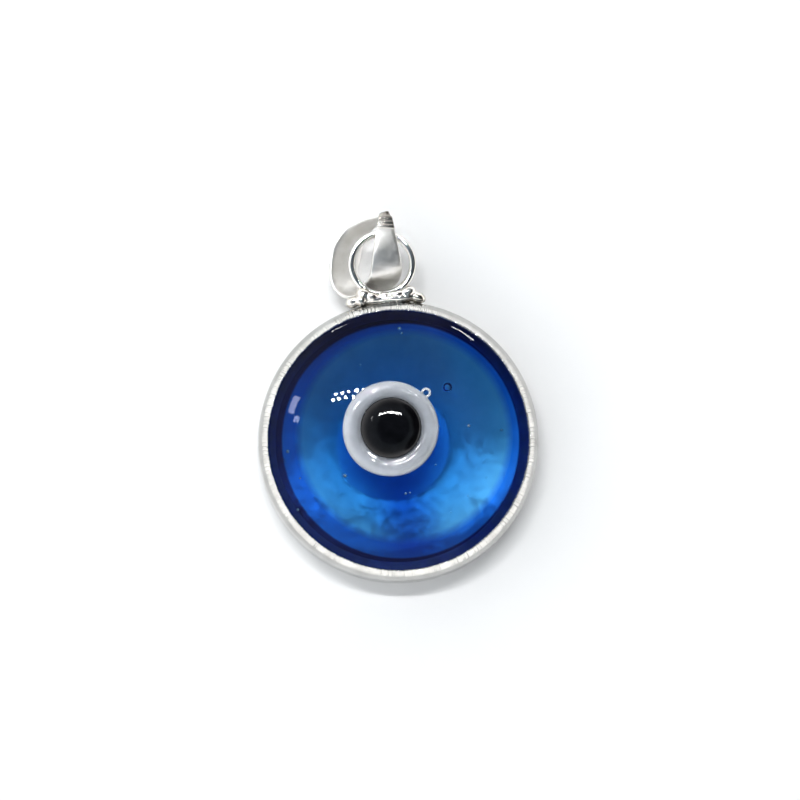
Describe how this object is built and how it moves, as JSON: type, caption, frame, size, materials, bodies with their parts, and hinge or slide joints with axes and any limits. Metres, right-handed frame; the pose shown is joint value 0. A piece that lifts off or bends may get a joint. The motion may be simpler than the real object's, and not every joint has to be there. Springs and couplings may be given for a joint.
{
  "type": "evil eye pendant",
  "caption": "Domed blue glass disc with a raised white dot and black pupil in a closed silver bezel cup, with a soldered jump ring and a loose folded strip bail.",
  "frame": {"origin": "under the middle of the whole pendant, on the flat it lies on", "axes": "+Z out of the front of the glass, +Y from the disc towards the jump ring and bail, +X to the right seen from the front"},
  "size_m": [0.02, 0.0264, 0.006],
  "materials": {
    "silver": "polished silver, hand finished",
    "solder": "silver solder, lumpy and lightly polished",
    "blue_glass": "transparent cobalt blue glass, fire polished",
    "white_glass": "opaque milky white glass, glossy",
    "black_glass": "opaque black glass, glossy"
  },
  "bodies": {
    "pendant": {"bezel_strip": "silver", "back_plate": "silver", "glass_disc": "blue_glass", "white_dot": "white_glass", "black_pupil": "black_glass", "jump_ring": "silver", "ring_solder": "solder"},
    "bail": {"bail_strip": "silver", "bail_solder": "solder"}
  },
  "joints": [
    {"name": "bail_swing", "type": "hinge", "parent": "pendant", "child": "bail", "pos_m": [0, 0.01163, 0.0026], "axis": [1, 0, 0], "range_deg": [0, 190]}
  ]
}
